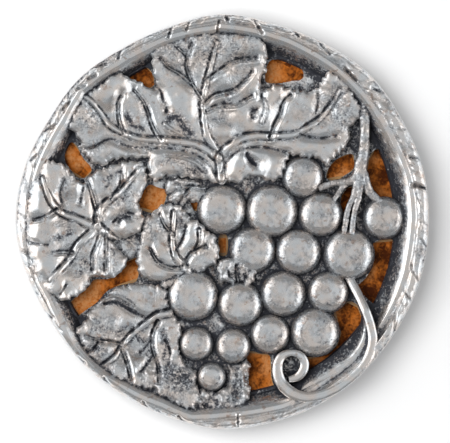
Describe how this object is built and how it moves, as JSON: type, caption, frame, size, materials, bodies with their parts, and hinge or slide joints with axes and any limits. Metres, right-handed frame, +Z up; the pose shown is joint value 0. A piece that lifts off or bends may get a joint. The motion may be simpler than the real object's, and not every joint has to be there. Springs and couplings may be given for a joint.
{
  "type": "drink coaster",
  "caption": "Round drink coaster: a pierced cast-metal relief of grapes and vine leaves inside a bark-textured rim, bonded to a cork pad.",
  "frame": {"origin": "middle of the cork pad's underside, where the coaster stands on the table", "axes": "+Z up, +Y towards the tip of the largest leaf, +X to the side with the stem of the grapes"},
  "size_m": [0.1038, 0.104, 0.01],
  "materials": {
    "cast_metal": "polished sand casting with a dark patina left in the recesses",
    "adhesive": "thin dried film",
    "cork": "sanded granular cork"
  },
  "bodies": {
    "root": {"casting": "cast_metal", "adhesive_film": "adhesive", "cork_pad": "cork"}
  },
  "joints": []
}
